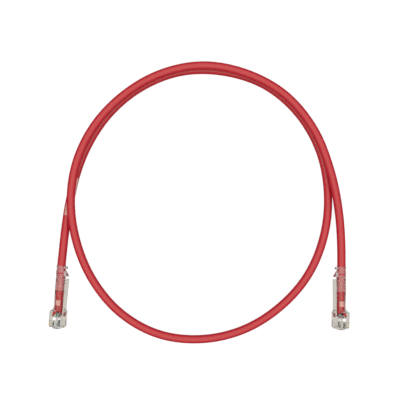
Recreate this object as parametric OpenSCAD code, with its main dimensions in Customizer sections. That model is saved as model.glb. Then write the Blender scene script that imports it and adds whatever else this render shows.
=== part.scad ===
// Ethernet patch cable: a round four-pair cord laid in one and a half turns,
// with a clear modular plug, a long latch and a slotted strain relief at each end.
// The floor is z = 0, the cord lies on it, and both noses point towards -Y.
//
// A plug is drawn in its own frame: X runs from the nose tip towards the cord,
// Y is across the row of eight contacts, and Z points to the latch.

/* [Cord] */
// Outside diameter of the round jacket
cable_od = 5.6; // [5.2:0.1:6]
// Wall of the jacket
jacket_wall = 0.55; // [0.4:0.05:0.7]
// How much wider in radius the jacket's cut end is, where the wires fan out
jacket_flare = 0.45; // [0.1:0.05:0.45]
// Outside diameter of one insulated wire
wire_od = 0.9; // [0.8:0.02:0.98]
// From the cord's centre to the middle of each pair of wires
pair_radius = 1.29; // [1.25:0.01:1.32]
// Gap between the two wires of a pair
pair_gap = 0.1; // [0.05:0.01:0.15]
// Half turns that the four pairs make from one plug to the other
half_turns = 1; // [1:2:5]
// Thickness of the wrapped marker label
label_t = 0.15; // [0.1:0.05:0.2]

/* [Plug head] */
// Width across the contacts
head_w = 11.68; // [11.4:0.02:12]
// Length of the full-width head
head_len = 12.7; // [12.5:0.1:14]
// Height from the cord's centre to the contact face
head_low = 3.6; // [3.5:0.1:4]
// Height from the cord's centre to the latch face
head_high = 3.5; // [3.5:0.05:3.6]
// Radius of the head's long edges
edge_r = 0.5; // [0.2:0.1:0.8]
// Radius of the head's rear shoulders
shoulder_r = 2.6; // [1:0.1:3]
// How far the narrow tip stands out of the head
tip_len = 1.3; // [1:0.1:1.4]
// Width of the narrow tip
tip_w = 6.4; // [6.3:0.1:7]
// Height of the narrow tip on the contact side of the centre
tip_low = 1.9; // [1.5:0.1:2.2]
// Height of the narrow tip on the latch side of the centre
tip_high = 1.5; // [1:0.1:2]
// Chamfer at the tip's corners
tip_chamfer = 0.6; // [0.3:0.1:0.8]
// Chamfer at the head's front corners
front_chamfer = 0.9; // [0.5:0.1:1.2]
// From the nose tip to the head's full height on the latch side
latch_step = 0.8; // [0.7:0.1:1]
// Bevel on the head's front and rear edges
bevel = 0.5; // [0.2:0.1:0.6]
// Wall at the head's rear
rear_wall = 0.8; // [0.6:0.1:1.2]
// Height of the room round the wire fan
fan_h = 5.4; // [4:0.1:5.6]

/* [Contacts and load bar] */
// Spacing of the eight contacts
pitch = 1.02; // [1.01:0.01:1.04]
// Thickness of one contact blade
contact_t = 0.35; // [0.3:0.01:0.4]
// Length of one contact blade
contact_len = 3; // [2.6:0.1:3.2]
// From the nose tip to the blade
contact_start = 2; // [1.8:0.1:2.4]
// How deep the blade's outer edge sits under the contact face
contact_sunk = 0.25; // [0.1:0.05:0.6]
// Height of a blade's piercing teeth
tooth_h = 0.6; // [0.4:0.1:0.8]
// Bevel on a blade's outer corners
contact_bevel = 0.3; // [0.1:0.1:0.5]
// From the nose tip to the ends of the wires
wire_start = 1.8; // [1.7:0.1:2.2]
// From the nose tip to the load bar
bar_start = 6; // [5.8:0.1:6.2]
// Length of the load bar along the plug
bar_len = 1.9; // [1.5:0.1:2]
// Width of the load bar across the wires
bar_w = 9.5; // [9.2:0.1:9.8]
// Height of the load bar
bar_h = 2.5; // [2:0.1:3]

/* [Plug neck] */
// Wall of the taper behind the head, at its wide end
taper_wall = 1; // [0.6:0.1:1.1]
// Wall round the cord
neck_wall = 0.35; // [0.3:0.05:0.45]
// From the nose tip to the jacket's cut end
jacket_start = 11.8; // [11.6:0.1:12]
// From the nose tip to the end of the tapered throat
throat_end = 15.3; // [14.8:0.1:15.5]
// From the nose tip to the crimp bars
crimp_start = 15.6; // [15.4:0.1:16]
// Length of a crimp bar
crimp_len = 3.6; // [3:0.1:4]
// Width of a crimp bar
crimp_w = 2.8; // [2.4:0.1:3.2]
// Thickness of a crimp bar
crimp_t = 0.5; // [0.4:0.05:0.6]
// Turn of the crimp bars and of the sleeve's webs from the plug's sides towards the latch
side_turn = 21; // [0:1:24]
// From the nose tip to the end of the neck
neck_end = 25.4; // [25:0.1:26]

/* [Strain relief] */
// Wall of the slotted sleeve round the cord
sleeve_wall = 0.3; // [0.25:0.05:0.45]
// How much wider in radius the collar is than the sleeve
collar_step = 0.2; // [0.1:0.05:0.2]
// Length of the collar
collar_len = 3.5; // [3:0.1:4]
// From the nose tip to the end of the sleeve
sleeve_end = 42; // [41.5:0.1:43]
// Width of one flex slot
slot_w = 1; // [0.6:0.1:1]
// Length of one flex slot across the sleeve, and of a web between two slots
slot_len = 3.8; // [3.6:0.1:4]
// How far the snag guard's lug stands out of the centre
lug_reach = 5.2; // [4.5:0.1:5.6]
// From the lug's flat face to the end of the sleeve
lug_back = 6.8; // [6.6:0.1:7]
// Length of the lug with its ramp
lug_len = 3.6; // [3:0.1:3.6]
// Length of the lug's flat top
lug_flat = 0.8; // [0.4:0.1:1.2]
// How far the small end hook stands out of the centre
hook_reach = 4.2; // [3.8:0.1:4.6]
// Solid wall between a slot and the lug or the hook
slot_lip = 0.35; // [0.3:0.05:0.5]

/* [Latch] */
// Clear length between the latch's end and the snag guard's lug
latch_clear = 1.4; // [1:0.1:4]
// Width of the latch's broad front
latch_front_w = 6; // [5.6:0.1:6.1]
// Width of the latch's slim arm
latch_arm_w = 3.2; // [3:0.1:3.4]
// From the nose tip to the catches behind the broad front
latch_catch = 9.3; // [8.5:0.1:10]
// Thickness of the latch
latch_t = 0.9; // [0.7:0.1:1.1]
// Height of the arm's underside above the latch face, behind the head
latch_rise = 0.6; // [0.6:0.05:0.8]
// Height that the arm's underside gains from the head to its end
latch_climb = 0.6; // [0.6:0.05:1]
// Radius of the root bead that the latch turns on
bead_r = 0.6; // [0.4:0.05:0.7]
// From the head's step on the latch side to the root bead
root_lip = 1.1; // [0.7:0.1:1.3]

/* [Fits] */
// Gap between the cord and what it passes through, on the radius
bore_gap = 0.05; // [0.03:0.01:0.08]
// Gap between the latch's root and the head
latch_gap = 0.15; // [0.12:0.01:0.2]
// Gap round the contacts, on each side
contact_gap = 0.05; // [0.03:0.01:0.08]
// Gap between the load bar and the head
bar_gap = 0.1; // [0.05:0.01:0.2]
// Gap between a crimp bar and the neck or the cord
crimp_gap = 0.05; // [0.03:0.01:0.1]
// Gap between the neck and the strain relief
joint_gap = 0.1; // [0.05:0.01:0.2]
// Film of glue between the label and the jacket
label_gap = 0.03; // [0.02:0.01:0.05]

/* [Lie of the cord] */
// Distance between the two plugs' noses. The loop and the cord's length grow with it.
lay_w = 188; // [170:1:400]
// How far each plug is rolled up from lying on its side, with its latch inwards
lean = 25; // [20:1:30]

/* [Hidden] */
// Wire colours in contact order, contacts 1 to 8
wire_labels = ["white_green", "green", "white_orange", "blue",
               "white_blue", "orange", "white_brown", "brown"];
wire_colors = ["honeydew", "seagreen", "moccasin", "royalblue",
               "lightsteelblue", "darkorange", "wheat", "sienna"];

plug_pieces = ["plug_housing", "latch", "load_bar", "crimp_bars", "strain_relief"];

LEFT = 0;
RIGHT = 1;
$fn = 48;
overrun = 0.5;

// The lie below is set out with the noses 188 mm apart
lay = lay_w / 188;

// Nose tips of the two plugs, and the turn of each from pointing straight to -Y
nose = lay * [[-94.2, -20.6], [93.8, -21.4]];
nose_turn = [3.8, 1];

// The cord's way from the left strain relief to the right one. X and Y are in
// millimetres. The third number is its height off the floor in cord diameters.
route = [
    [-90.5, 31.5, 0.58], [-89.5, 42.5, 0.3], [-88, 55, 0], [-86, 66, 0],
    [-82.5, 80.5, 0], [-74.5, 101, 0], [-61, 121.5, 0], [-39, 140, 0],
    [-12, 150.5, 0], [17, 150.5, 0], [45, 141, 0], [66.5, 122.5, 0],
    [80.5, 98, 0], [86, 70, 0], [83.5, 41.5, 0], [72.5, 14.5, 0],
    [54, -6.5, 0], [30, -21.5, 0], [1.5, -28, 0], [-27.5, -24.5, 0],
    [-52.5, -10.5, 0], [-71, 11.5, 0.1], [-82, 39, 0.6], [-85, 63.5, 1.08],
    [-81.5, 89, 1.08], [-70.5, 112.5, 1.08], [-50.5, 134, 1.08],
    [-25.5, 148.5, 1.08], [2, 154, 1.08], [30.5, 149, 1.08],
    [57, 134.5, 1.08], [75.5, 112.5, 1.08], [87, 84.5, 1], [93, 55.5, 0.7],
    [94.5, 33.5, 0.65]];
// The label is wrapped between these two points of the route
label_from = 2;
label_to = 4;
// Sides of the jacket that the label covers, counted round from the outer side
label_sides = [1, 5];

jacket_sides = 10;
wire_sides = 6;
ring_step = 2.5 * cable_od;

cord_r = cable_od / 2;
bore_r = cord_r + bore_gap;
throat_r = bore_r + jacket_flare;
neck_r = bore_r + neck_wall;
sleeve_r = bore_r + sleeve_wall;
collar_r = sleeve_r + collar_step;
row_h = wire_od + 2 * bar_gap;
row_w = 7 * pitch + wire_od + 2 * bar_gap;
bar_end = bar_start + bar_len;
hood_w = bar_w + 2 * bar_gap;
hood_end = head_len - rear_wall;
sleeve_start = neck_end + joint_gap;
collar_end = sleeve_start + collar_len;
lug_start = sleeve_end - lug_back;
lug_end = lug_start + lug_len;
latch_end = lug_start - latch_clear;
first_slot = lug_start - slot_lip - slot_w / 2;
middle_slot = (lug_start + lug_end) / 2;
last_slot = lug_end + slot_lip + slot_w / 2;
hook_start = last_slot + slot_w / 2 + slot_lip / 2;
hook_end = (hook_start + sleeve_end) / 2 + slot_lip;
slot_floor = sqrt(pow(bore_r, 2) - pow(slot_len / 2, 2)) - 0.1;
slot_depth = 2 * sleeve_r - slot_floor;
hinge_x = latch_step + root_lip + bead_r;
hinge_z = head_high + latch_gap + latch_t / 3;

// A plug lies on one long edge, so this is its centre line's height
axis_z = (head_w / 2 - edge_r) * cos(lean) + (head_low - edge_r) * sin(lean) + edge_r;

function wire_name(w) = str("wire_", wire_labels[w]);
function unit(v) = v / norm(v);
function mix(a, b, t) = a + (b - a) * t;
function flip(list) = [for (i = [len(list) - 1 : -1 : 0]) list[i]];
function sum(list, i = 0) = i == len(list) ? 0 : list[i] + sum(list, i + 1);

// A plug's direction from its nose to the cord, and a point on its centre line
function plug_dir(p) = [sin(nose_turn[p]), cos(nose_turn[p]), 0];
function on_axis(p, x) = [nose[p].x, nose[p].y, axis_z] + x * plug_dir(p);

// ---- The cord's centre line: a smooth curve through the route's points ----
function off_floor(p) = [lay * p.x, lay * p.y, cable_od * (0.5 + p.z)];
knots = concat([on_axis(LEFT, sleeve_end)], [for (p = route) off_floor(p)],
               [on_axis(RIGHT, sleeve_end)]);
spans = len(knots) - 1;

function heading(i) =
    i == 0 ? plug_dir(LEFT) :
    i == spans ? -plug_dir(RIGHT) :
    let (a = knots[i] - knots[i - 1], b = knots[i + 1] - knots[i])
    unit(a * norm(b) / norm(a) + b * norm(a) / norm(b));
headings = [for (i = [0 : spans]) heading(i)];

// A point of span i at t from 0 to 1, never under the floor
function curve(i, t) =
    let (a = knots[i], b = knots[i + 1], long = norm(b - a),
         p = a * (2 * pow(t, 3) - 3 * pow(t, 2) + 1)
           + headings[i] * long * (pow(t, 3) - 2 * pow(t, 2) + t)
           + b * (3 * pow(t, 2) - 2 * pow(t, 3))
           + headings[i + 1] * long * (pow(t, 3) - pow(t, 2)))
    [p.x, p.y, max(p.z, cord_r)];
function slope(i, t) =
    let (a = knots[i], b = knots[i + 1], long = norm(b - a))
    unit((b - a) * 6 * (t - pow(t, 2))
         + headings[i] * long * (3 * pow(t, 2) - 4 * t + 1)
         + headings[i + 1] * long * (3 * pow(t, 2) - 2 * t));
function steps(i) = max(1, round(norm(knots[i + 1] - knots[i]) / ring_step));

// A station is [point, direction]. Inside a plug the cord runs dead straight.
plug_xs = [jacket_start, throat_end, neck_end, (neck_end + sleeve_end) / 2];
free_stations = concat(
    [for (i = [0 : spans - 1]) for (k = [0 : steps(i) - 1])
        [curve(i, k / steps(i)), slope(i, k / steps(i))]],
    [[knots[spans], headings[spans]]]);
stations = concat(
    [for (x = plug_xs) [on_axis(LEFT, x), plug_dir(LEFT)]],
    free_stations,
    [for (x = flip(plug_xs)) [on_axis(RIGHT, x), -plug_dir(RIGHT)]]);
last = len(stations) - 1;

// Two directions across the cord at a station: level, and upwards
function across(s) = unit(cross([0, 0, 1], s[1]));
function upward(s) = cross(s[1], across(s));
function beside(s, off) = s[0] + across(s) * off[0] + upward(s) * off[1];
function ring(s, r, sides, off = [0, 0]) =
    [for (k = [0 : sides - 1])
        let (a = 360 * (k + 0.5) / sides) beside(s, off + r * [cos(a), sin(a)])];

// ---- Meshes from stacked rings ----
function skin(from, rings, sides, inwards = false) =
    [for (i = [0 : rings - 2]) for (k = [0 : sides - 1])
        let (k2 = (k + 1) % sides, a = from + i * sides + k, b = from + i * sides + k2,
             c = a + sides, d = b + sides)
        each inwards ? [[a, b, d], [a, d, c]] : [[a, d, b], [a, c, d]]];
function disc(from, sides, back) =
    [for (k = [1 : sides - 2])
        back ? [from, from + k, from + k + 1] : [from, from + k + 1, from + k]];
function washer(outer, inner, sides, back) =
    [for (k = [0 : sides - 1])
        let (k2 = (k + 1) % sides)
        each back ? [[outer + k, outer + k2, inner + k2], [outer + k, inner + k2, inner + k]]
                  : [[outer + k, inner + k2, outer + k2], [outer + k, inner + k, inner + k2]]];

function band(from, n, back) =
    [for (k = [0 : n - 2])
        let (a = from + k, b = a + 1, c = from + 2 * n - 2 - k, d = c + 1)
        each back ? [[a, b, c], [a, c, d]] : [[a, c, b], [a, d, c]]];

module rod(rings, sides) {
    n = len(rings);
    polyhedron([for (r = rings) each r],
        concat(skin(0, n, sides), disc(0, sides, true), disc((n - 1) * sides, sides, false)));
}

module pipe(outer, inner, sides) {
    n = len(outer);
    half = n * sides;
    polyhedron(concat([for (r = outer) each r], [for (r = inner) each r]),
        concat(skin(0, n, sides), skin(half, n, sides, true),
            washer(0, half, sides, true),
            washer(half - sides, 2 * half - sides, sides, false)));
}

// ---- Building blocks in a plug's own frame ----
module plug_at(p) {
    translate([nose[p].x, nose[p].y, axis_z])
        rotate([0, 0, 90 - nose_turn[p]])
            rotate([(p == LEFT ? 1 : -1) * (90 - lean), 0, 0])
                children();
}

module block(x0, x1, w, z0, z1) {
    translate([x0, -w / 2, z0]) cube([x1 - x0, w, z1 - z0]);
}

module cone(x0, x1, r0, r1) {
    translate([x0, 0, 0]) rotate([0, 90, 0]) cylinder(h = x1 - x0, r1 = r0, r2 = r1);
}

module side_slab(points, w) {
    rotate([90, 0, 0]) linear_extrude(w, center = true) polygon(points);
}

// Puts a thing on both sides of the cord, turned a little towards the latch
module on_side(side, distance) {
    rotate([side * side_turn, 0, 0]) translate([0, side * distance, 0]) children();
}

module side_windows(x, w) {
    for (side = [-1, 1])
        on_side(side, slot_floor + slot_depth / 2)
            block(x - w / 2, x + w / 2, slot_depth, -slot_len / 2, slot_len / 2);
}

module cross_bead(x, z, r, w) {
    translate([x, 0, z]) rotate([90, 0, 0]) cylinder(h = w, r = r, center = true);
}

// Outline of the head from the latch side: narrow tip, round rear shoulders
module head_plan() {
    half = head_w / 2;
    tip = tip_w / 2;
    polygon([[0, -tip + tip_chamfer], [tip_chamfer, -tip], [tip_len, -tip],
             [tip_len, -half + front_chamfer], [tip_len + front_chamfer, -half],
             [head_len - shoulder_r, -half], [head_len - shoulder_r, half],
             [tip_len + front_chamfer, half], [tip_len, half - front_chamfer],
             [tip_len, tip], [tip_chamfer, tip], [0, tip - tip_chamfer]]);
    translate([head_len / 2, -half + shoulder_r])
        square([head_len / 2, head_w - 2 * shoulder_r]);
    for (y = [-1, 1])
        translate([head_len - shoulder_r, y * (half - shoulder_r)]) circle(shoulder_r);
}

// Cross-section of the head, with rounded long edges
module head_section() {
    w = head_w - 2 * edge_r;
    h = head_low + head_high - 2 * edge_r;
    translate([0, (head_high - head_low) / 2]) {
        square([w, h + 2 * edge_r], center = true);
        square([w + 2 * edge_r, h], center = true);
        for (x = [-w / 2, w / 2]) for (y = [-h / 2, h / 2])
            translate([x, y]) circle(edge_r);
    }
}

// Side view of the head: the narrow tip, then the full height
head_side = [
    [0, -tip_low + bevel], [bevel, -tip_low], [tip_len, -tip_low],
    [tip_len, -head_low + bevel], [tip_len + bevel, -head_low],
    [head_len - bevel, -head_low], [head_len, -head_low + bevel],
    [head_len, head_high - bevel], [head_len - bevel, head_high], [latch_step, head_high],
    [latch_step, tip_high], [bevel, tip_high], [0, tip_high - bevel]];

module head_body() {
    intersection() {
        side_slab(head_side, head_w + 1);
        linear_extrude(4 * head_low, center = true) head_plan();
        rotate([90, 0, 90]) linear_extrude(head_len) head_section();
    }
}

// Taper from the head to the neck, cut flat so that the pressed latch clears it
module taper() {
    intersection() {
        cone(head_len - 2 * overrun, throat_end, throat_r + taper_wall, neck_r);
        block(0, neck_end, head_w, -head_low + latch_gap, head_high - latch_gap);
    }
}

// Rooms inside the head: the row of wires, the load bar, the fan and the throat
module head_rooms() {
    block(wire_start - bar_gap, bar_start + overrun, row_w, -row_h / 2, row_h / 2);
    block(bar_start - bar_gap, bar_end + bar_gap, hood_w, -bar_h / 2 - bar_gap,
        bar_h / 2 + bar_gap);
    block(bar_end, hood_end, hood_w, -fan_h / 2, fan_h / 2);
    cone(jacket_start - overrun, jacket_start, throat_r, throat_r);
    cone(jacket_start - 0.01, throat_end, throat_r, bore_r);
    cone(throat_end - 0.01, neck_end + overrun, bore_r, bore_r);
    for (i = [0 : 7])
        translate([0, row_y(i), 0])
            block(contact_start - contact_gap, contact_start + contact_len + contact_gap,
                contact_t + 2 * contact_gap, -head_low - overrun, 0);
    for (side = [-1, 1])
        on_side(side, neck_r)
            block(crimp_start - crimp_gap, crimp_start + crimp_len + crimp_gap,
                neck_r, -crimp_w / 2 - crimp_gap, crimp_w / 2 + crimp_gap);
    cross_bead(hinge_x, hinge_z, bead_r + latch_gap, latch_front_w + 2 * latch_gap);
}

// ---- Pieces of a plug ----
module plug_housing() {
    color("gainsboro", 0.5)
        difference() {
            union() {
                head_body();
                taper();
                cone(head_len / 2, neck_end, neck_r, neck_r);
            }
            head_rooms();
        }
}

module load_bar() {
    color("whitesmoke")
        difference() {
            block(bar_start, bar_end, bar_w, -bar_h / 2, bar_h / 2);
            block(bar_start - 1, bar_end + 1, row_w, -row_h / 2, row_h / 2);
        }
}

module crimp_bars() {
    color("mistyrose")
        for (side = [-1, 1])
            on_side(side, cord_r + crimp_gap + crimp_t / 2)
                block(crimp_start, crimp_start + crimp_len, crimp_t, -crimp_w / 2, crimp_w / 2);
}

// Underside of the latch at a distance from the nose
function latch_under(x) =
    x < head_len
        ? head_high + mix(latch_gap, latch_rise, max(0, x - hinge_x) / (head_len - hinge_x))
        : head_high + latch_rise + latch_climb * (x - head_len) / (latch_end - head_len);

function latch_strip(x0, x1) =
    let (xs = [x0, min(x1, head_len), x1])
    concat([for (x = xs) [x, latch_under(x)]],
           [for (x = flip(xs)) [x, latch_under(x) + latch_t]]);

module latch() {
    color("gainsboro", 0.6)
        union() {
            side_slab(latch_strip(hinge_x, latch_catch), latch_front_w);
            side_slab(latch_strip(hinge_x, latch_end - latch_t / 2), latch_arm_w);
            cross_bead(latch_end - latch_t / 2, latch_under(latch_end) + latch_t / 2,
                latch_t / 2, latch_arm_w);
            cross_bead(hinge_x, hinge_z, bead_r, latch_front_w);
        }
}

module strain_relief() {
    color("gainsboro", 0.5)
        difference() {
            union() {
                cone(sleeve_start, collar_end, collar_r, collar_r);
                cone(sleeve_start, sleeve_end, sleeve_r, sleeve_r);
                side_slab([[lug_start, 0], [lug_start, lug_reach],
                           [lug_start + lug_flat, lug_reach], [lug_end, sleeve_r],
                           [lug_end, 0]], latch_arm_w);
                side_slab([[hook_start, 0], [hook_start, hook_reach],
                           [hook_end, hook_reach], [hook_end, 0]], latch_arm_w);
            }
            cone(sleeve_start - 1, sleeve_end + 1, bore_r, bore_r);
            for (x = [first_slot, last_slot])
                difference() {
                    block(x - slot_w / 2, x + slot_w / 2, 4 * sleeve_r,
                        -2 * sleeve_r, 2 * sleeve_r);
                    side_windows(x, 2 * slot_w);
                }
            side_windows(middle_slot, slot_w);
        }
}

// Place of contact or wire i, from 0 to 7, in the row. Contact 1 is on the left when
// the contacts face you and the cord hangs down.
function row_y(i) = (3.5 - i) * pitch;

// A flat blade with two teeth that stop on top of the wire
module contact(i) {
    x0 = contact_start;
    x1 = contact_start + contact_len;
    top = -head_low + contact_sunk;
    tips = -wire_od / 2 - contact_gap;
    root = tips - tooth_h;
    color("gold")
        translate([0, row_y(i), 0])
            side_slab([[x0, root], [x0 + contact_len * 0.2, tips], [x0 + contact_len * 0.4, root],
                       [x0 + contact_len * 0.6, root], [x0 + contact_len * 0.8, tips],
                       [x1, root], [x1, top + contact_bevel], [x1 - contact_bevel, top],
                       [x0 + contact_bevel, top], [x0, top + contact_bevel]], contact_t);
}

// ---- The cord ----
module jacket() {
    radii = [for (i = [0 : last]) cord_r + (i == 0 || i == last ? jacket_flare : 0)];
    color("crimson")
        pipe([for (i = [0 : last]) ring(stations[i], radii[i], jacket_sides)],
             [for (i = [0 : last]) ring(stations[i], radii[i] - jacket_wall, jacket_sides)],
             jacket_sides);
}

// The pairs in the cord, as [height, place in the row] of wire w in the left plug's frame
function pair_place(w) =
    let (half = (wire_od + pair_gap) / 2, side = w < 4 ? 1 : -1)
    w == 0 || w == 7 ? [-half, side * pair_radius] :
    w == 1 || w == 6 ? [half, side * pair_radius] :
    w == 2 || w == 5 ? [pair_radius, side * half] :
    [-pair_radius, side * half];

// From a plug's frame to the directions across the cord at its station
function to_cord(p, height, y) =
    let (s = p == LEFT ? 1 : -1)
    [-height * cos(lean) + s * y * sin(lean), height * sin(lean) + s * y * cos(lean)];
function turned(v, a) = [v[0] * cos(a) - v[1] * sin(a), v[0] * sin(a) + v[1] * cos(a)];

// The fan of wire w inside plug p: straight in the row, spread, then in its pair
fan_xs = [wire_start, bar_end + 0.4, (bar_end + jacket_start) / 2, jacket_start - 0.5];
function fan_place(p, w, step) =
    let (pair = pair_place(w), height = p == LEFT ? pair[0] : -pair[0])
    step < 2 ? [0, row_y(w)] :
    step == 2 ? [height, row_y(w)] :
    [height, pair[1]];
function fan_rings(p, w) =
    [for (k = [0 : 3])
        let (place = fan_place(p, w, k))
        ring([on_axis(p, fan_xs[k]), (p == LEFT ? 1 : -1) * plug_dir(p)], wire_od / 2,
             wire_sides, to_cord(p, place[0], place[1]))];

module wire(w) {
    start = to_cord(LEFT, pair_place(w)[0], pair_place(w)[1]);
    color(wire_colors[w])
        rod(concat(fan_rings(LEFT, w),
                [for (i = [0 : last])
                    ring(stations[i], wire_od / 2, wire_sides,
                         turned(start, half_turns * 180 * i / last))],
                flip(fan_rings(RIGHT, w))), wire_sides);
}

// The label follows the jacket's own sides between two points of the route
module marker_label() {
    first = len(plug_xs) + sum([for (i = [0 : label_from]) steps(i)]);
    count = sum([for (i = [label_from + 1 : label_to]) steps(i)]);
    angles = [for (k = [label_sides[0] : label_sides[1]]) 360 * (k + 0.5) / jacket_sides];
    inner_r = cord_r + label_gap;
    rings = [for (i = [first : first + count])
        concat([for (a = angles) beside(stations[i], (inner_r + label_t) * [cos(a), sin(a)])],
               [for (a = flip(angles)) beside(stations[i], inner_r * [cos(a), sin(a)])])];
    n = len(angles);
    color("lavenderblush")
        polyhedron([for (r = rings) each r],
            concat(skin(0, count + 1, 2 * n), band(0, n, true),
                band(count * 2 * n, n, false)));
}

// ---- How long the cord is, and how near it comes to itself ----
check_points = [for (i = [0 : spans - 1]) for (k = [0 : 5]) curve(i, k / 6)];
check_len = sum([for (i = [1 : len(check_points) - 1])
    norm(check_points[i] - check_points[i - 1])]);
far_apart = 12;
least_gap = min([for (i = [0 : len(check_points) - 1 - far_apart])
    for (j = [i + far_apart : len(check_points) - 1])
        norm(check_points[i] - check_points[j])]) - cable_od;
echo(tip_to_tip = check_len + 2 * sleeve_end, free_cord = check_len);
echo(least_gap_to_itself = least_gap, rings = last + 1);

jacket();
marker_label();
for (w = [0 : 7]) wire(w);
for (p = [LEFT, RIGHT]) {
    side = p == LEFT ? "left_" : "right_";
    plug_at(p) plug_housing();
    plug_at(p) latch();
    plug_at(p) load_bar();
    plug_at(p) crimp_bars();
    plug_at(p) strain_relief();
    for (c = [1 : 8])
        plug_at(p) contact(c - 1);
}
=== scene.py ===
# %% [markdown]
# A short ethernet patch cable. A round red cord holds four twisted pairs of wires.
# It ends in two clear plugs, each with eight plated contacts, a springy latch and a
# slotted sleeve that keeps the cord from kinking. The solid model is loaded first,
# as a fixed frame, and each piece is then dressed in its place.

# %% Load the frame and keep its box
import math

import bmesh
import bpy
from mathutils import Matrix, Vector


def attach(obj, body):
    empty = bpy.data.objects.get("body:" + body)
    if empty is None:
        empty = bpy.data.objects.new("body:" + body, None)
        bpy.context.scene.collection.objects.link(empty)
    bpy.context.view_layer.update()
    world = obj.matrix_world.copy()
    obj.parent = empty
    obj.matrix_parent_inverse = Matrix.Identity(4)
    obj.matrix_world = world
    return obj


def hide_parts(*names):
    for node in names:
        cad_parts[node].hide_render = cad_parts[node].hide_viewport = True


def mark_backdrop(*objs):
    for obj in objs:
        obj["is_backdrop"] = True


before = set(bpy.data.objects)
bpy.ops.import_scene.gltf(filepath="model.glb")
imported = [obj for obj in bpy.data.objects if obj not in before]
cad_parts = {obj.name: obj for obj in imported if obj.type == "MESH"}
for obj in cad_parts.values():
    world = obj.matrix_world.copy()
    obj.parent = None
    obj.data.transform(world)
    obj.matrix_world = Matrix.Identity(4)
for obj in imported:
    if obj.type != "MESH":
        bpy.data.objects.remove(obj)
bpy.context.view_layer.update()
MM = 0.001

# %% [markdown]
# The camera looks straight down on the laid-out cable. A long lens keeps the two
# plugs from leaning outwards. The distance follows from the width to be seen, and
# the aim is a point in metres near the middle of the loop.

# %% Camera
VIEW_WIDTH, AIM = 0.266, Vector((0.0006, 0.0649, 0.006))
camera_data = bpy.data.cameras.new("camera")
camera_data.lens, camera_data.sensor_width = 100, 36
camera = bpy.data.objects.new("camera", camera_data)
distance = VIEW_WIDTH * camera_data.lens / camera_data.sensor_width
camera.location = AIM + Vector((0, 0, distance))
bpy.context.scene.collection.objects.link(camera)
bpy.context.scene.camera = camera
print("camera height:", round(camera.location.z, 3))

# %% [markdown]
# Both plugs are the same shape. One matrix for each plug takes a point from the
# plug's own frame, in millimetres, to its place on the table, in metres. In that
# frame X runs from the nose to the cord, Y across the contacts, Z to the latch.

# %% The two plugs' places
NOSE = {"left": (-94.2, -20.6), "right": (93.8, -21.4)}
TURN = {"left": 3.8, "right": 1.0}
SIGN = {"left": 1, "right": -1}
LEAN = math.radians(25)
HEAD_W, HEAD_LOW, EDGE_R = 11.68, 3.6, 0.5
AXIS_Z = ((HEAD_W / 2 - EDGE_R) * math.cos(LEAN) + (HEAD_LOW - EDGE_R) * math.sin(LEAN)
          + EDGE_R)


def plug_matrix(side):
    roll = SIGN[side] * (math.pi / 2 - LEAN)
    return (Matrix.Scale(MM, 4)
            @ Matrix.Translation((NOSE[side][0], NOSE[side][1], AXIS_Z))
            @ Matrix.Rotation(math.radians(90 - TURN[side]), 4, "Z")
            @ Matrix.Rotation(roll, 4, "X"))


PLUG = {side: plug_matrix(side) for side in NOSE}
for side in PLUG:
    print(side, "nose at", [round(c, 4) for c in PLUG[side] @ Vector((0, 0, 0))])

# %% [markdown]
# The cord is about one metre long from nose to nose. It lies in one and a half
# loose turns and climbs over itself in a long low hump. Its centre line is a
# smooth curve through the points below, given in millimetres, with the height off
# the table in cord diameters.

# %% The cord's centre line
CORD_OD = 5.6
JACKET_START, THROAT_END, NECK_END, SLEEVE_END = 11.8, 15.3, 25.4, 42.0
SLEEVE_MIDDLE = (NECK_END + SLEEVE_END) / 2
IN_PLUG = (JACKET_START, THROAT_END, NECK_END, SLEEVE_MIDDLE)
CURVE_STEPS, RING_STEP = 24, 2.0
ROUTE = [
    (-90.5, 31.5, 0.58), (-89.5, 42.5, 0.3), (-88, 55, 0), (-86, 66, 0),
    (-82.5, 80.5, 0), (-74.5, 101, 0), (-61, 121.5, 0), (-39, 140, 0),
    (-12, 150.5, 0), (17, 150.5, 0), (45, 141, 0), (66.5, 122.5, 0),
    (80.5, 98, 0), (86, 70, 0), (83.5, 41.5, 0), (72.5, 14.5, 0),
    (54, -6.5, 0), (30, -21.5, 0), (1.5, -28, 0), (-27.5, -24.5, 0),
    (-52.5, -10.5, 0), (-71, 11.5, 0.1), (-82, 39, 0.6), (-85, 63.5, 1.08),
    (-81.5, 89, 1.08), (-70.5, 112.5, 1.08), (-50.5, 134, 1.08),
    (-25.5, 148.5, 1.08), (2, 154, 1.08), (30.5, 149, 1.08),
    (57, 134.5, 1.08), (75.5, 112.5, 1.08), (87, 84.5, 1), (93, 55.5, 0.7),
    (94.5, 33.5, 0.65)]


def on_axis(side, x):
    return PLUG[side] @ Vector((x, 0, 0)) / MM


def plug_direction(side):
    return (on_axis(side, 1) - on_axis(side, 0)).normalized()


def cord_curve():
    """Dense points of the centre line, from one jacket end to the other."""
    knots = ([on_axis("left", SLEEVE_END)]
             + [Vector((x, y, CORD_OD * (0.5 + k))) for x, y, k in ROUTE]
             + [on_axis("right", SLEEVE_END)])
    headings = [plug_direction("left")]
    for before, here, after in zip(knots, knots[1:], knots[2:]):
        a, b = here - before, after - here
        headings.append((a * b.length / a.length + b * a.length / b.length).normalized())
    headings.append(-plug_direction("right"))
    points = [on_axis("left", x) for x in IN_PLUG]
    for i in range(len(knots) - 1):
        a, b = knots[i], knots[i + 1]
        long = (b - a).length
        for k in range(CURVE_STEPS):
            t = k / CURVE_STEPS
            p = (a * (2 * t**3 - 3 * t**2 + 1) + headings[i] * long * (t**3 - 2 * t**2 + t)
                 + b * (3 * t**2 - 2 * t**3) + headings[i + 1] * long * (t**3 - t**2))
            points.append(Vector((p.x, p.y, max(p.z, CORD_OD / 2))))
    return points + [on_axis("right", x) for x in (SLEEVE_END, *IN_PLUG[::-1])]


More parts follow.
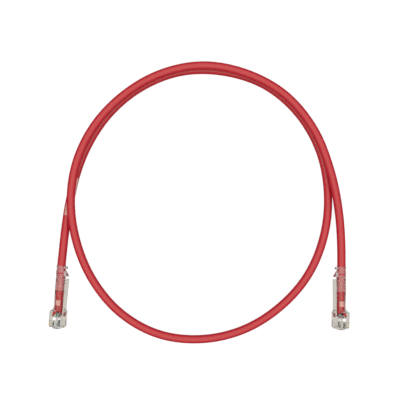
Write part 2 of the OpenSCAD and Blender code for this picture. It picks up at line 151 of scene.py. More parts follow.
def respaced(points, step):
    """The same line with its points an even step apart, and the length of the line."""
    lengths = [0.0]
    for a, b in zip(points, points[1:]):
        lengths.append(lengths[-1] + (b - a).length)
    count = round(lengths[-1] / step)
    even, i = [], 0
    for k in range(count + 1):
        s = min(lengths[-1], k * lengths[-1] / count)
        while i < len(points) - 2 and lengths[i + 1] < s:
            i += 1
        t = (s - lengths[i]) / (lengths[i + 1] - lengths[i])
        even.append(points[i].lerp(points[i + 1], min(1, t)))
    return even, lengths[-1]


centre, cord_length = respaced(cord_curve(), RING_STEP)
print("jacket:", round(cord_length, 1), "mm long,", len(centre), "points")

# %% [markdown]
# Everything on the cord is a line with a round section, so one Geometry Nodes
# tree sweeps them all: the jacket and the eight wires. A line of plain mesh points
# goes in, and each point carries its own scale, so that the jacket can flare at
# its cut ends. The sweep also stores how far round and how far along each point
# is, for the materials to follow. A wall is made when one is asked for: the inner
# tube is pushed outwards and joined to a flipped copy of itself.

# %% A node tree that sweeps a round section along a line


def add_input(tree, name, kind, value=None):
    socket = tree.interface.new_socket(name=name, in_out="INPUT", socket_type=kind)
    if value is not None:
        socket.default_value = value
    return socket


def node(tree, kind, links=(), **settings):
    """Adds a node. links gives (input, source socket or plain value)."""
    made = tree.nodes.new(kind)
    for key, value in settings.items():
        setattr(made, key, value)
    for key, source in links:
        if isinstance(source, bpy.types.NodeSocket):
            tree.links.new(source, made.inputs[key])
        else:
            made.inputs[key].default_value = source
    return made


def sweep_tree():
    tree = bpy.data.node_groups.new("sweep along a line", "GeometryNodeTree")
    add_input(tree, "Line", "NodeSocketGeometry")
    add_input(tree, "Radius", "NodeSocketFloat", 0.001)
    add_input(tree, "Wall", "NodeSocketFloat", 0.0)
    add_input(tree, "Sides", "NodeSocketInt", 8)
    add_input(tree, "Material", "NodeSocketMaterial")
    tree.interface.new_socket(name="Mesh", in_out="OUTPUT", socket_type="NodeSocketGeometry")
    given = tree.nodes.new("NodeGroupInput").outputs
    solid = node(tree, "FunctionNodeCompare", [("A", given["Wall"]), ("B", 0.0)],
                 data_type="FLOAT", operation="LESS_EQUAL").outputs[0]
    curve = node(tree, "GeometryNodeMeshToCurve", [("Mesh", given["Line"])]).outputs[0]
    curve = node(tree, "GeometryNodeSetCurveNormal", [("Curve", curve)], mode="Z_UP").outputs[0]
    along = node(tree, "GeometryNodeSplineParameter").outputs["Length"]
    curve = node(tree, "GeometryNodeStoreNamedAttribute",
                 [("Geometry", curve), ("Name", "along"), ("Value", along)],
                 data_type="FLOAT", domain="POINT").outputs[0]
    radius = node(tree, "ShaderNodeMath", [(0, given["Radius"]), (1, given["Wall"])],
                  operation="SUBTRACT").outputs[0]
    ring = node(tree, "GeometryNodeCurvePrimitiveCircle",
                [("Resolution", given["Sides"]), ("Radius", radius)]).outputs[0]
    spot = node(tree, "GeometryNodeInputPosition").outputs[0]
    round_it = node(tree, "ShaderNodeVectorMath", [(0, spot)], operation="NORMALIZE").outputs[0]
    ring = node(tree, "GeometryNodeStoreNamedAttribute",
                [("Geometry", ring), ("Name", "around"), ("Value", round_it)],
                data_type="FLOAT_VECTOR", domain="POINT").outputs[0]
    scale = node(tree, "GeometryNodeInputNamedAttribute", [("Name", "scale")],
                 data_type="FLOAT").outputs[0]
    tube = node(tree, "GeometryNodeCurveToMesh",
                [("Curve", curve), ("Profile Curve", ring), ("Scale", scale),
                 ("Fill Caps", solid)]).outputs[0]
    pushed = node(tree, "GeometryNodeExtrudeMesh",
                  [("Mesh", tube), ("Offset Scale", given["Wall"]), ("Individual", False)])
    turned = node(tree, "GeometryNodeFlipFaces", [("Mesh", tube)]).outputs[0]
    both = tree.nodes.new("GeometryNodeJoinGeometry")
    tree.links.new(turned, both.inputs[0])
    tree.links.new(pushed.outputs["Mesh"], both.inputs[0])
    shell = node(tree, "GeometryNodeMergeByDistance",
                 [("Geometry", both.outputs[0]), ("Distance", 1e-6)]).outputs[0]
    switch = node(tree, "GeometryNodeSwitch",
                  [("Switch", solid), ("False", shell), ("True", tube)],
                  input_type="GEOMETRY").outputs[0]
    real = node(tree, "GeometryNodeRealizeInstances", [("Geometry", switch)]).outputs[0]
    done = node(tree, "GeometryNodeSetMaterial",
                [("Geometry", real), ("Material", given["Material"])]).outputs[0]
    out = tree.nodes.new("NodeGroupOutput")
    tree.links.new(done, out.inputs[0])
    return tree


SWEEP = sweep_tree()
print("tree:", SWEEP.name, "with", len(SWEEP.nodes), "nodes")

# %% [markdown]
# A node tree is run once, on a start mesh, and its result is kept as a plain mesh.
# The inputs are set by the sockets' identifiers before anything is evaluated.

# %% Run a node tree and keep its mesh


def add_object(name, data):
    made = bpy.data.objects.new(name, data)
    bpy.context.scene.collection.objects.link(made)
    return made


def plain_mesh(made):
    """The mesh of an object once its modifiers or its curve have been worked out."""
    graph = bpy.context.evaluated_depsgraph_get()
    return bpy.data.meshes.new_from_object(made.evaluated_get(graph))


def run_tree(tree, name, start, **inputs):
    """Runs a tree on a start mesh and returns an object with the finished plain mesh."""
    carrier = add_object("carrier", start)
    modifier = carrier.modifiers.new("nodes", "NODES")
    modifier.node_group = tree
    for item in tree.interface.items_tree:
        if item.in_out == "INPUT" and item.name.lower() in inputs:
            modifier[item.identifier] = inputs[item.name.lower()]
    mesh = plain_mesh(carrier)
    mesh.name = name
    bpy.data.objects.remove(carrier)
    return add_object(name, mesh)


def line_mesh(points, scales=None):
    mesh = bpy.data.meshes.new("line")
    mesh.from_pydata([Vector(p) * MM for p in points],
                     [(i, i + 1) for i in range(len(points) - 1)], [])
    values = mesh.attributes.new("scale", "FLOAT", "POINT")
    values.data.foreach_set("value", scales or [1.0] * len(points))
    return mesh


def smooth(made, angle=35):
    made.data.shade_smooth()
    made.data.set_sharp_from_angle(angle=math.radians(angle))
    return made


def count(made):
    made.data.calc_loop_triangles()
    return len(made.data.loop_triangles)


print("helpers ready")

# %% [markdown]
# Every finish is a node material. Moulded and extruded plastics are never quite
# even, so each one gets a little noise in its colour, its gloss and its surface.
# The noise reads the Object coordinates, which are metres on these pieces.

# %% A helper for plastics and metals


def finish(name, color, roughness, grain=600.0, bump=0.05, depth=0.00002, vary=0.04,
           rough_vary=0.06, **sockets):
    """A Principled material with fine noise in its colour, roughness and surface."""
    made = bpy.data.materials.new(name)
    made.use_nodes = True
    tree = made.node_tree
    shader = tree.nodes["Principled BSDF"]
    for key, value in sockets.items():
        shader.inputs[key.replace("_", " ")].default_value = value
    place = tree.nodes.new("ShaderNodeTexCoord").outputs["Object"]
    noise = node(tree, "ShaderNodeTexNoise",
                 [("Vector", place), ("Scale", grain), ("Detail", 4.0), ("Roughness", 0.6)])
    dark = tuple(c * (1 - vary) for c in color)
    light = tuple(min(1.0, c * (1 + vary)) for c in color)
    ramp = tree.nodes.new("ShaderNodeValToRGB")
    ramp.color_ramp.elements[0].position, ramp.color_ramp.elements[1].position = 0.3, 0.7
    ramp.color_ramp.elements[0].color = (*dark, 1)
    ramp.color_ramp.elements[1].color = (*light, 1)
    tree.links.new(noise.outputs["Fac"], ramp.inputs["Fac"])
    tree.links.new(ramp.outputs["Color"], shader.inputs["Base Color"])
    gloss = node(tree, "ShaderNodeMapRange",
                 [("Value", noise.outputs["Fac"]), ("From Min", 0.3), ("From Max", 0.7),
                  ("To Min", max(0.0, roughness - rough_vary)), ("To Max", roughness + rough_vary)])
    tree.links.new(gloss.outputs["Result"], shader.inputs["Roughness"])
    if bump:
        relief = node(tree, "ShaderNodeBump",
                      [("Height", noise.outputs["Fac"]), ("Strength", bump), ("Distance", depth)])
        tree.links.new(relief.outputs["Normal"], shader.inputs["Normal"])
    return made


def rgb(red, green, blue):
    """Screen colour, 0 to 255, as the linear colour that the shader takes."""
    return tuple((c / 255 / 12.92) if c <= 10 else ((c / 255 + 0.055) / 1.055) ** 2.4
                 for c in (red, green, blue))


print("finish helper ready")

# %% [markdown]
# The jacket is soft red vinyl, squeezed out over the pairs. It shines in a broad
# soft streak, and the twisted pairs under it show as a very faint slow spiral.
# The spiral is drawn from the stored places round and along the cord, because a
# wave in Object coordinates would cross the loop at odd angles.

# %% The red vinyl
SPIRAL_LENGTH = 0.011


def jacket_finish():
    made = finish("red vinyl", (0.4, 0.005, 0.02), 0.36, grain=900.0, bump=0.12, vary=0.05,
                  Specular_IOR_Level=0.6, Specular_Tint=(1.0, 0.98, 0.82, 1.0))
    tree = made.node_tree
    shader = tree.nodes["Principled BSDF"]
    fine = shader.inputs["Normal"].links[0].from_node
    around = node(tree, "ShaderNodeAttribute", attribute_name="around").outputs["Vector"]
    along = node(tree, "ShaderNodeAttribute", attribute_name="along").outputs["Fac"]
    parts = node(tree, "ShaderNodeSeparateXYZ", [(0, around)]).outputs
    turn = node(tree, "ShaderNodeMath", [(0, along), (1, 2 * math.pi / SPIRAL_LENGTH)],
                operation="MULTIPLY").outputs[0]
    sine = node(tree, "ShaderNodeMath", [(0, turn)], operation="SINE").outputs[0]
    cosine = node(tree, "ShaderNodeMath", [(0, turn)], operation="COSINE").outputs[0]
    first = node(tree, "ShaderNodeMath", [(0, parts[0]), (1, cosine)],
                 operation="MULTIPLY").outputs[0]
    spiral = node(tree, "ShaderNodeMath", [(0, parts[1]), (1, sine), (2, first)],
                  operation="MULTIPLY_ADD").outputs[0]
    slow = node(tree, "ShaderNodeBump",
                [("Height", spiral), ("Strength", 0.25), ("Distance", 0.00012)])
    tree.links.new(slow.outputs["Normal"], fine.inputs["Normal"])
    return made


RED_VINYL = jacket_finish()
print("material:", RED_VINYL.name)

# %% [markdown]
# The jacket is a tube of 0.55 mm wall. Inside each plug the crimp pinches it to a
# waist, and from there it flares towards its cut end, because the wires fan out of
# it. Its line gets closer points there, and each point says how wide the tube is.

# %% The jacket
CORD_R, JACKET_WALL, JACKET_FLARE = CORD_OD / 2, 0.55, 0.45
WAIST, WAIST_MIDDLE, WAIST_REACH = 0.92, 17.4, 3.0
NEAR_STEP, NEAR_COUNT, NEAR_ROWS = 0.5, 20, 5


def ease(t):
    return t * t * (3 - 2 * t)


def width_at(x):
    """The jacket's width at x from the nose, as a share of the plain cord's."""
    flare = max(0.0, (THROAT_END - x) / (THROAT_END - JACKET_START))
    pinch = ease(max(0.0, 1 - abs(x - WAIST_MIDDLE) / WAIST_REACH))
    return 1 + flare * JACKET_FLARE / CORD_R - (1 - WAIST) * pinch


near = [JACKET_START + NEAR_STEP * k for k in range(NEAR_COUNT)]
jacket_line = ([on_axis("left", x) for x in near] + centre[NEAR_ROWS:-NEAR_ROWS]
               + [on_axis("right", x) for x in near[::-1]])
widths = ([width_at(x) for x in near] + [1.0] * (len(centre) - 2 * NEAR_ROWS)
          + [width_at(x) for x in near[::-1]])
jacket = run_tree(SWEEP, "cord_jacket", line_mesh(jacket_line, widths), radius=CORD_R * MM,
                  wall=JACKET_WALL * MM, sides=28, material=RED_VINYL)
print("jacket:", count(jacket), "triangles")

# %% [markdown]
# The wires push the jacket's cut end open in a V that faces straight up. What is
# left on its two sides reaches on towards the nose as two flaps. Each one is
# pressed flat against a broad wall of the room in the plug, and slides along that
# wall away from the V, so the open end stays wider than the cord when seen from
# above. The points of the tube's last few millimetres are moved to make them.

# %% The two flaps at each cut end
FLAP_REACH, FLAP_SLIDE = 3.7, 1.4
ROOM_START, ROOM_HALF, FLAT_OVER = 11.8, 2.6, 0.9


def open_end(mesh, side):
    to_plug = PLUG[side].inverted()
    sideways = Vector((0, 0, 1)).cross(plug_direction(side))
    sideways = (to_plug.to_3x3() @ sideways).normalized()
    moved = 0
    for vertex in mesh.vertices:
        p = to_plug @ vertex.co
        if p.x > THROAT_END or math.hypot(p.y, p.z) > 2 * CORD_R:
            continue
        aside = p.dot(sideways) / math.hypot(p.y, p.z)
        p.x = THROAT_END - (THROAT_END - p.x) * (1 + abs(aside) * FLAP_REACH
                                                 / (THROAT_END - JACKET_START))
        flat = ease(min(1, max(0, (ROOM_START + FLAT_OVER - p.x) / FLAT_OVER)))
        slide = ease(min(1, max(0, (ROOM_START - p.x) / FLAT_OVER)))
        over = max(0.0, abs(p.z) - ROOM_HALF)
        p.z -= math.copysign(over * flat, p.z)
        p.y += math.copysign(FLAP_SLIDE * slide * abs(aside), aside * sideways.y)
        vertex.co = PLUG[side] @ p
        moved += 1
    return moved


print("points moved:", [open_end(jacket.data, side) for side in PLUG])

# %% The jacket stands for its solid
smooth(jacket, 50)
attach(jacket, "cable")
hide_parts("jacket")
print("jacket rides on the cable")

# %% [markdown]
# Inside run eight insulated copper wires. Two wires twist into a pair, and the
# four pairs turn slowly round each other. At a plug they leave the jacket, spread
# out flat and lie side by side under the contacts. The path of each wire is worked
# out first, as an offset from the cord's centre line that turns along the way.

# %% Paths of the eight wires
PITCH, WIRE_OD, PAIR_RADIUS, PAIR_HALF = 1.02, 0.9, 1.29, 0.46
WIRE_START, FAN_END, GATHERED = 1.8, 8.3, JACKET_START - 0.4
FAN_STEP, FAN_COUNT = 0.35, 10
WIRES = ["white_green", "green", "white_orange", "blue",
         "white_blue", "orange", "white_brown", "brown"]
PAIR_OF = [0, 0, 1, 2, 2, 1, 3, 3]
PAIR_TURNS = [60.5, 52.5, 56.5, 48.5]
LAY_TURNS = 9.5


def row_place(w):
    return Vector((0, (3.5 - w) * PITCH))


def pair_centre(w):
    """Height and place in the row of a pair's middle, in the left plug's frame."""
    if w in (2, 5):
        return Vector((PAIR_RADIUS, 0))
    if w in (3, 4):
        return Vector((-PAIR_RADIUS, 0))
    return Vector((0, PAIR_RADIUS if w < 4 else -PAIR_RADIUS))


def pair_offset(w):
    if w in (2, 3, 4, 5):
        return Vector((0, PAIR_HALF if w < 4 else -PAIR_HALF))
    return Vector((-PAIR_HALF if w in (0, 7) else PAIR_HALF, 0))


def to_cord(side, place):
    """From (height, place in the row) to the level and upward directions of the cord."""
    s, (h, y) = SIGN[side], place
    return Vector((-h * math.cos(LEAN) + s * y * math.sin(LEAN),
                   h * math.sin(LEAN) + s * y * math.cos(LEAN)))


def turned(v, turns):
    a = 2 * math.pi * turns
    return Vector((v.x * math.cos(a) - v.y * math.sin(a), v.x * math.sin(a) + v.y * math.cos(a)))


def fan(side, w):
    """The wire inside a plug, from its cut end to the jacket, in the plug's frame."""
    place = pair_centre(w) + pair_offset(w)
    if side == "right":
        place.x = -place.x
    xs = [WIRE_START, 3, 4.5, 6, 7.2] + [FAN_END + k * FAN_STEP for k in range(FAN_COUNT)]
    points = []
    for x in xs:
        t = min(1, max(0, (x - FAN_END) / (GATHERED - FAN_END)))
        spread = row_place(w).lerp(place, ease(t))
        points.append(PLUG[side] @ Vector((x, spread.y, spread.x)) / MM)
    return points


def wire_path(w):
    step = len(centre) - 1
    start, offset = to_cord("left", pair_centre(w)), to_cord("left", pair_offset(w))
    points = fan("left", w)
    for i, p in enumerate(centre):
        ahead = (centre[min(i + 1, step)] - centre[max(i - 1, 0)]).normalized()
        across = Vector((0, 0, 1)).cross(ahead).normalized()
        upward = ahead.cross(across)
        t = i / step
        off = turned(start, LAY_TURNS * t) + turned(offset, PAIR_TURNS[PAIR_OF[w]] * t)
        points.append(p + across * off.x + upward * off.y)
    return points + fan("right", w)[::-1]


print("wire 1 has", len(wire_path(0)), "points")

# %% [markdown]
# Insulation colours follow the usual order. Four wires are plain. Their partners
# are white with a thin stripe in the plain wire's colour, and the stripe is drawn
# from the stored place round the wire.

# %% The eight wires
INSULATION = {"orange": rgb(186, 128, 84), "green": rgb(56, 108, 98), "blue": rgb(76, 104, 132),
              "brown": rgb(92, 94, 90)}


def wire_finish(name):
    plain = INSULATION[name.split("_")[-1]]
    if not name.startswith("white"):
        return finish(name.replace("_", " ") + " insulation", plain, 0.35, Coat_Weight=0.1)
    made = finish(name.replace("_", " ") + " insulation", rgb(164, 188, 184), 0.35,
                  Coat_Weight=0.1)
    tree = made.node_tree
    shader = tree.nodes["Principled BSDF"]
    ground = shader.inputs["Base Color"].links[0].from_socket
    around = node(tree, "ShaderNodeAttribute", attribute_name="around").outputs["Vector"]
    height = node(tree, "ShaderNodeSeparateXYZ", [(0, around)]).outputs[1]
    stripe = node(tree, "ShaderNodeMapRange",
                  [("Value", height), ("From Min", 0.55), ("From Max", 0.7)]).outputs[0]
    mix = node(tree, "ShaderNodeMix", [("Factor", stripe)], data_type="RGBA")
    tree.links.new(ground, mix.inputs[6])
    mix.inputs[7].default_value = (*plain, 1)
    tree.links.new(mix.outputs[2], shader.inputs["Base Color"])
    return made


for w, name in enumerate(WIRES):
    wire = run_tree(SWEEP, "wire_" + name + "_insulated", line_mesh(wire_path(w)),
                    radius=WIRE_OD / 2 * MM, wall=0.0, sides=10, material=wire_finish(name))
    smooth(wire, 50)
    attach(wire, "cable")
    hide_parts("wire_" + name)
    print(wire.name, count(wire), "triangles")

# %% [markdown]
# Patch cord is made to bend, so its wires are stranded: six fine copper strands
# lie round a seventh. They show at each wire's cut end. A second tree puts one
# bundle of seven on every end, and turns it along the plug by a stored direction.

# %% A node tree for bundles of strands
STRAND_R, STRAND_LENGTH, STRAND_PLACE = 0.085, 0.24, 0.05


def strand_tree():
    tree = bpy.data.node_groups.new("copper strands", "GeometryNodeTree")
    add_input(tree, "Ends", "NodeSocketGeometry")
    add_input(tree, "Strand", "NodeSocketFloat", 0.0001)
    add_input(tree, "Length", "NodeSocketFloat", 0.0003)
    add_input(tree, "Material", "NodeSocketMaterial")
    tree.interface.new_socket(name="Mesh", in_out="OUTPUT", socket_type="NodeSocketGeometry")
    given = tree.nodes.new("NodeGroupInput").outputs
    across = node(tree, "ShaderNodeMath", [(0, given["Strand"]), (1, 2.0)],
                  operation="MULTIPLY").outputs[0]
    ring = node(tree, "GeometryNodeMeshCircle", [("Vertices", 6), ("Radius", across)]).outputs[0]
    middle = node(tree, "GeometryNodeMeshLine", [("Count", 1)]).outputs[0]
    seven = tree.nodes.new("GeometryNodeJoinGeometry")
    tree.links.new(ring, seven.inputs[0])
    tree.links.new(middle, seven.inputs[0])
    rod = node(tree, "GeometryNodeMeshCylinder",
               [("Vertices", 8), ("Radius", given["Strand"]),
                ("Depth", given["Length"])]).outputs[0]
    bundle = node(tree, "GeometryNodeInstanceOnPoints",
                  [("Points", seven.outputs[0]), ("Instance", rod)]).outputs[0]
    aim = node(tree, "GeometryNodeInputNamedAttribute", [("Name", "aim")],
               data_type="FLOAT_VECTOR").outputs[0]
    turn = node(tree, "FunctionNodeAlignRotationToVector", [("Vector", aim)], axis="Z").outputs[0]
    placed = node(tree, "GeometryNodeInstanceOnPoints",
                  [("Points", given["Ends"]), ("Instance", bundle), ("Rotation", turn)]).outputs[0]
    real = node(tree, "GeometryNodeRealizeInstances", [("Geometry", placed)]).outputs[0]
    done = node(tree, "GeometryNodeSetMaterial",
                [("Geometry", real), ("Material", given["Material"])]).outputs[0]
    out = tree.nodes.new("NodeGroupOutput")
    tree.links.new(done, out.inputs[0])
    return tree


def wire_ends(side):
    """A point at each wire's cut end, with the plug's direction stored as its aim."""
    mesh = bpy.data.meshes.new("wire ends")
    mesh.from_pydata([PLUG[side] @ Vector((WIRE_START + STRAND_PLACE, row_place(w).y, 0))
                      for w in range(8)], [], [])
    aims = mesh.attributes.new("aim", "FLOAT_VECTOR", "POINT")
    aims.data.foreach_set("vector", list(plug_direction(side)) * 8)
    return mesh


STRANDS = strand_tree()
print("tree:", STRANDS.name, "with", len(STRANDS.nodes), "nodes")

# %% The copper strands
COPPER = finish("bare copper", (0.80, 0.38, 0.22), 0.3, grain=2500.0, bump=0.05, Metallic=1.0)
for side in PLUG:
    strands = run_tree(STRANDS, side + "_copper_strands", wire_ends(side),
                       strand=STRAND_R * MM, length=STRAND_LENGTH * MM, material=COPPER)
    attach(strands, "cable")
    print(strands.name, count(strands), "triangles")

# %% [markdown]
# A round marker label is wrapped round the cord near the left plug. It is a thin
# film, so it is made as its own curved strip that floats a hair above the jacket,
# from the same centre line. It reaches from one point of the route to another one
# further on, and it is left blank.

# %% The marker label
LABEL_T, LABEL_GAP, LABEL_ARC, LABEL_COLUMNS = 0.15, 0.03, (54, 198), 17
LABEL_ENDS = (ROUTE[2], ROUTE[4])


def nearest_ring(place):
    return min(range(len(centre)), key=lambda i: (centre[i].xy - Vector(place[:2])).length)


def label_strip():
    first, last = sorted(nearest_ring(end) for end in LABEL_ENDS)
    verts, faces, columns = [], [], LABEL_COLUMNS
    for layer in (LABEL_GAP, LABEL_GAP + LABEL_T):
        for i in range(first, last + 1):
            ahead = (centre[i + 1] - centre[i - 1]).normalized()
            across = Vector((0, 0, 1)).cross(ahead).normalized()
            upward = ahead.cross(across)
            for k in range(columns):
                a = math.radians(LABEL_ARC[0] + (LABEL_ARC[1] - LABEL_ARC[0]) * k / (columns - 1))
                verts.append((centre[i] + (across * math.cos(a) + upward * math.sin(a))
                              * (CORD_R + layer)) * MM)
    rows = last - first + 1
    for layer in (0, 1):
        for i in range(rows - 1):
            for k in range(columns - 1):
                a = (layer * rows + i) * columns + k
                quad = (a, a + 1, a + columns + 1, a + columns)
                faces.append(quad if layer == 0 else quad[::-1])
    top = rows * columns
    rim = ([k for k in range(columns)]
           + [i * columns + columns - 1 for i in range(1, rows)]
           + [(rows - 1) * columns + k for k in range(columns - 2, -1, -1)]
           + [i * columns for i in range(rows - 2, 0, -1)])
    for a, b in zip(rim, rim[1:] + rim[:1]):
        faces.append((b, a, top + a, top + b))
    mesh = bpy.data.meshes.new("label_wrap")
    mesh.from_pydata(verts, [], faces)
    made = add_object("label_wrap", mesh)
    build = bmesh.new()
    build.from_mesh(mesh)
    bmesh.ops.recalc_face_normals(build, faces=build.faces)
    build.to_mesh(mesh)
    build.free()
    return made


label = label_strip()
label.data.materials.append(finish("blank vinyl film", rgb(190, 142, 135), 0.5, grain=1500.0,
                                   bump=0.1, vary=0.03))
smooth(label, 50)
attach(label, "cable")
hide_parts("marker_label")
print("label:", count(label), "triangles, box", [round(c, 4) for c in label.dimensions])

# %% [markdown]
# The jacket is a free cord. Its real length is the jacket's own, from one cut end
# to the other, and it leaves the left plug at the end of its neck. That length is
# printed here in metres. The wires in it and the label on it ride on the same
# cable body.

print("declared length", round(cord_length * MM, 3), "m")

# %% [markdown]
# The plug bodies, latches and sleeves are hard mouldings. Their solids already
# have the right shape, but every edge is knife sharp. A mould leaves a small
# radius on each edge, and that is what catches the light. So each solid is copied,
# its loose triangles are joined into clean faces, and a fine bevel goes round the
# sharp edges. The copy stands for the solid.

# %% A helper that softens a solid's edges
WELD, FLAT_ANGLE, BEVEL_ANGLE, SHADE_ANGLE = 2e-6, 0.5, 40, 32


def softened(solid, name, width, material, body):
    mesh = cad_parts[solid].data.copy()
    mesh.name = name
    mesh.materials.clear()
    mesh.materials.append(material)
    build = bmesh.new()
    build.from_mesh(mesh)
    bmesh.ops.remove_doubles(build, verts=build.verts, dist=WELD)
    bmesh.ops.dissolve_limit(build, angle_limit=math.radians(FLAT_ANGLE), verts=build.verts,
                             edges=build.edges)
    for face in build.faces:
        face.material_index = 0
    build.to_mesh(mesh)
    build.free()
    made = add_object(name, mesh)
    bevel = made.modifiers.new("fine radius", "BEVEL")
    bevel.width, bevel.segments = width * MM, 2
    bevel.limit_method, bevel.angle_limit = "ANGLE", math.radians(BEVEL_ANGLE)
    bevel.use_clamp_overlap = True
    bevelled = plain_mesh(made)
    made.modifiers.clear()
    made.data = bevelled
    bevelled.name = name
    smooth(made, SHADE_ANGLE)
    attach(made, body)
    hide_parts(solid)
    return made


print("soften helper ready")

# %% [markdown]
# The plug body and the latch are clear polycarbonate, with a faint warm grey cast.
# The sleeve is a softer, slightly milky plastic, so the red cord shows through it
# paler. Both are the shader's own transmission, with a little roughness noise from
# the mould's surface. A real moulding has rounder inner corners than these solids,
# and light passes them more easily, so the IOR is kept low: the wires, the bar and
# the cord inside then stay as easy to see as they are on the real plug.

# %% The clear and the milky plastic
CLEAR = finish("clear polycarbonate", (0.98, 0.972, 0.955), 0.06, grain=500.0, bump=0.04,
               vary=0.01, rough_vary=0.02, Transmission_Weight=1.0, IOR=1.2)
MILKY = finish("milky flexible plastic", (0.985, 0.89, 0.885), 0.14, grain=700.0, bump=0.06,
               vary=0.02, rough_vary=0.04, Transmission_Weight=0.92, IOR=1.25)
print("materials:", CLEAR.name, MILKY.name)

# %% The plug bodies, latches and sleeves
for side in ("left", "right"):
    housing = softened(side + "_plug_housing", side + "_clear_body", 0.12, CLEAR, "cable")
    latch = softened(side + "_latch", side + "_clear_latch", 0.12, CLEAR, side + "_latch")
    sleeve = softened(side + "_strain_relief", side + "_milky_sleeve", 0.06, MILKY, "cable")
    print(side, "body", count(housing), "latch", count(latch), "sleeve", count(sleeve))

# %% [markdown]
# The load bar is a small white block with eight holes in a row. It keeps the wires
# in order while the plug is pressed on. A flat filled curve makes it: one outline,
# eight circles as holes, some thickness and a fine bevel. White nylon scatters the
# light inside it. A painted glow, an even emission on the bar, stands for that and
# also brightens its shaded faces.

# %% The load bars
# The emission is a painted glow: the bar is no lamp, yet it shines on its shaded faces too.
NYLON_WITH_PAINTED_GLOW = finish("white nylon with painted glow", rgb(244, 243, 245), 0.5, grain=900.0, bump=0.1, vary=0.01,
                     Emission_Color=(1, 1, 1, 1), Emission_Strength=0.22)
BAR_START, BAR_LEN, BAR_W, BAR_H, HOLE_R, EDGE = 6.0, 1.9, 9.5, 2.5, 0.49, 0.1
BAR_CORNER, CORNER_STEPS, HOLE_SIDES = 0.3, 6, 24


def outline(curve, points):
    spline = curve.splines.new("POLY")
    spline.points.add(len(points) - 1)
    for place, (x, y) in zip(spline.points, points):
        place.co = (x * MM, y * MM, 0, 1)
    spline.use_cyclic_u = True


def arc(x, y, radius, start, end, steps):
    return [(x + radius * math.cos(math.radians(start + (end - start) * k / steps)),
             y + radius * math.sin(math.radians(start + (end - start) * k / steps)))
            for k in range(steps + 1)]


def bar_curve():
    curve = bpy.data.curves.new("bar", "CURVE")
    curve.dimensions, curve.fill_mode = "2D", "BOTH"
    curve.extrude, curve.bevel_depth, curve.bevel_resolution = (
        (BAR_LEN / 2 - EDGE) * MM, EDGE * MM, 2)
    w, h, r = BAR_W / 2 - EDGE, BAR_H / 2 - EDGE, BAR_CORNER
    corners = [(w - r, h - r), (r - w, h - r), (r - w, r - h), (w - r, r - h)]
    outline(curve, [point for k, (x, y) in enumerate(corners)
                    for point in arc(x, y, r, 90 * k, 90 * k + 90, CORNER_STEPS)])
    for w in range(len(WIRES)):
        outline(curve, arc(row_place(w).y, 0, HOLE_R, 0, 360 - 360 / HOLE_SIDES, HOLE_SIDES - 1))
    return curve


def as_piece(data, name, matrix, material, body="cable"):
    """Makes a mesh of a curve, with its place in its points."""
    carrier = add_object("carrier", data)
    mesh = plain_mesh(carrier)
    bpy.data.objects.remove(carrier)
    mesh.transform(matrix)
    mesh.name = name
    build = bmesh.new()
    build.from_mesh(mesh)
    bmesh.ops.remove_doubles(build, verts=build.verts, dist=1e-7)
    bmesh.ops.recalc_face_normals(build, faces=build.faces)
    build.to_mesh(mesh)
    build.free()
    mesh.materials.clear()
    mesh.materials.append(material)
    made = add_object(name, mesh)
    smooth(made, SHADE_ANGLE)
    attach(made, body)
    return made


upright = Matrix(((0, 0, 1, 0), (1, 0, 0, 0), (0, 1, 0, 0), (0, 0, 0, 1)))
for side in ("left", "right"):
    place = (PLUG[side] @ Matrix.Translation((BAR_START + BAR_LEN / 2, 0, 0))
             @ Matrix.Scale(1 / MM, 4) @ upright)
    bar = as_piece(bar_curve(), side + "_white_bar", place, NYLON_WITH_PAINTED_GLOW)
    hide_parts(side + "_load_bar")
    print(bar.name, count(bar), "triangles")

# %% [markdown]
# The contacts are thin blades. They are plated with nickel all over, and with gold
# only along the outer edge, where the jack's springs touch them. The two colours
# are mixed by how far a point is from the plug's middle, towards the contact face.
# That is a dot product with the plug's own downward direction, away from the latch,
# so each side has its own material. The solids have the right outline and stay.

# %% The plated contacts
GOLD_FROM, GOLD_FULL = 3.22, 3.3
NICKEL, GOLD = (0.44, 0.43, 0.41), (0.83, 0.60, 0.24, 1)


def plated_finish(side):
    made = finish(side + " plated blade", NICKEL, 0.45, grain=1500.0, bump=0.05, Metallic=1.0)
    tree = made.node_tree
    shader = tree.nodes["Principled BSDF"]
    nickel = shader.inputs["Base Color"].links[0].from_socket
    middle = PLUG[side] @ Vector((0, 0, 0))
    down = (PLUG[side] @ Vector((0, 0, -1)) - middle).normalized()
    place = tree.nodes.new("ShaderNodeTexCoord").outputs["Object"]
    from_middle = node(tree, "ShaderNodeVectorMath", [(0, place), (1, middle)],
                       operation="SUBTRACT").outputs[0]
    depth = node(tree, "ShaderNodeVectorMath", [(0, from_middle), (1, down)],
                 operation="DOT_PRODUCT").outputs["Value"]
    gilt = node(tree, "ShaderNodeMapRange",
                [("Value", depth), ("From Min", GOLD_FROM * MM), ("From Max", GOLD_FULL * MM)])
    mix = node(tree, "ShaderNodeMix", [("Factor", gilt.outputs[0])], data_type="RGBA")
    tree.links.new(nickel, mix.inputs[6])
    mix.inputs[7].default_value = GOLD
    tree.links.new(mix.outputs[2], shader.inputs["Base Color"])
    return made


for side in PLUG:
    plated = plated_finish(side)
    for k in range(1, 9):
        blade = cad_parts[f"{side}_contact_{k}"]
        blade.data.materials.clear()
        blade.data.materials.append(plated)
    print(side, "contacts:", plated.name)

# %% [markdown]
# Two small bars press the jacket's sides in where the plug is crimped. They are
# softened copies of their solids, in frosted plastic that the red shines through.

# %% The crimp bars
FROSTED = finish("frosted plastic", rgb(218, 166, 156), 0.45, grain=800.0, bump=0.1, vary=0.03,
                 Transmission_Weight=0.3, IOR=1.35)
for side in ("left", "right"):
    crimp = softened(side + "_crimp_bars", side + "_frosted_crimps", 0.12, FROSTED, "cable")
    print(crimp.name, count(crimp), "triangles")

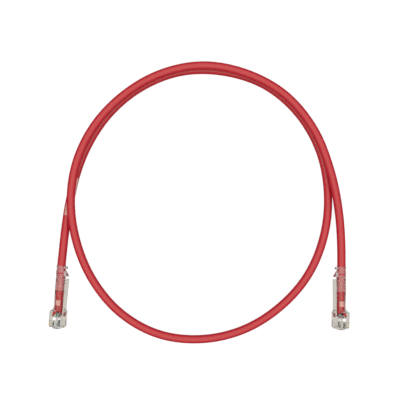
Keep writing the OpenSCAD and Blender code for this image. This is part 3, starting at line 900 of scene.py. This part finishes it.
# %% [markdown]
# A cable on a white sheet in a soft light tent. Most of the sheet's light comes
# through it from below, as on a light table, so it stays white and shows only a
# faint shadow. It is kept just above white: a brighter sheet would spill over the
# cord's edges in the render and make the cord look thinner. Clear plastic shows
# whatever lies behind it, and against pure white it nearly vanishes. So, as a
# photographer does with glass, a dimmer board lies under the plugs: only the light
# that has passed through clear plastic meets the board in place of the sheet. The
# shiny pieces don't mirror the sheet either, which keeps the cord's sides dark.

# %% Floor and light
SHEET_SIZE, SHEET_Z, BOARD_Z = 3, -0.0002, -0.0004
BOARD_COLOR = (0.60, 0.568, 0.525, 1)


def white_sheet():
    made = finish("white paper", (0.2, 0.2, 0.2), 0.9, grain=300.0, bump=0.02, vary=0.005,
                  Specular_IOR_Level=0.2, Emission_Color=(1, 1, 1, 1), Emission_Strength=0.86)
    bpy.ops.mesh.primitive_plane_add(size=SHEET_SIZE, location=(0, 0, SHEET_Z))
    sheet = bpy.context.object
    sheet.name = "paper"
    sheet.data.materials.append(made)
    sheet.visible_glossy = sheet.visible_transmission = False
    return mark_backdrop(sheet)


def dim_board():
    made = bpy.data.materials.new("dim board")
    made.use_nodes = True
    made.node_tree.nodes.clear()
    glow = node(made.node_tree, "ShaderNodeEmission",
                [("Color", BOARD_COLOR), ("Strength", 1.0)])
    out = made.node_tree.nodes.new("ShaderNodeOutputMaterial")
    made.node_tree.links.new(glow.outputs[0], out.inputs[0])
    bpy.ops.mesh.primitive_plane_add(size=SHEET_SIZE, location=(0, 0, BOARD_Z))
    board = bpy.context.object
    board.name = "board"
    board.data.materials.append(made)
    board.visible_camera = board.visible_diffuse = False
    board.visible_glossy = board.visible_shadow = False
    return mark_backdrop(board)


white_sheet()
dim_board()
print("sheet and board laid")

# %% [markdown]
# The sky is brightest straight above, which puts one broad streak along the cord,
# and almost dark near the horizon, which leaves the cord's sides a deep red. A dark
# horizon would also draw black lines in the clear plastic, where its edges bend the
# light sideways. Light that has passed through plastic never sees it quite so dark,
# and the tent's wall behind the sheet looks as white as the sheet.

# %% The light tent
DARK_SKY, BRIGHT_SKY, SKY_THROUGH_PLASTIC, WALL = 0.03, 1.95, 0.34, 1.1
HORIZON, WARM_WHITE = 0.02, (1, 0.97, 0.92, 1)


def light_tent():
    world = bpy.data.worlds.new("tent")
    bpy.context.scene.world = world
    world.use_nodes = True
    tree = world.node_tree
    place = tree.nodes.new("ShaderNodeTexCoord").outputs["Generated"]
    height = node(tree, "ShaderNodeSeparateXYZ", [(0, place)]).outputs[2]
    glow = node(tree, "ShaderNodeMapRange",
                [("Value", height), ("From Min", HORIZON), ("From Max", 1.0),
                 ("To Min", DARK_SKY), ("To Max", BRIGHT_SKY)],
                interpolation_type="SMOOTHSTEP").outputs[0]
    ray = tree.nodes.new("ShaderNodeLightPath").outputs
    wall = node(tree, "ShaderNodeMath", [(0, ray["Is Camera Ray"]), (1, WALL)],
                operation="MULTIPLY").outputs[0]
    least = node(tree, "ShaderNodeMath", [(0, ray["Is Transmission Ray"]),
                                          (1, SKY_THROUGH_PLASTIC), (2, wall)],
                 operation="MULTIPLY_ADD").outputs[0]
    shown = node(tree, "ShaderNodeMath", [(0, glow), (1, least)], operation="MAXIMUM").outputs[0]
    tree.links.new(shown, tree.nodes["Background"].inputs["Strength"])
    tree.nodes["Background"].inputs["Color"].default_value = WARM_WHITE


light_tent()
bpy.context.scene.view_settings.view_transform = "Standard"
print("tent lit")
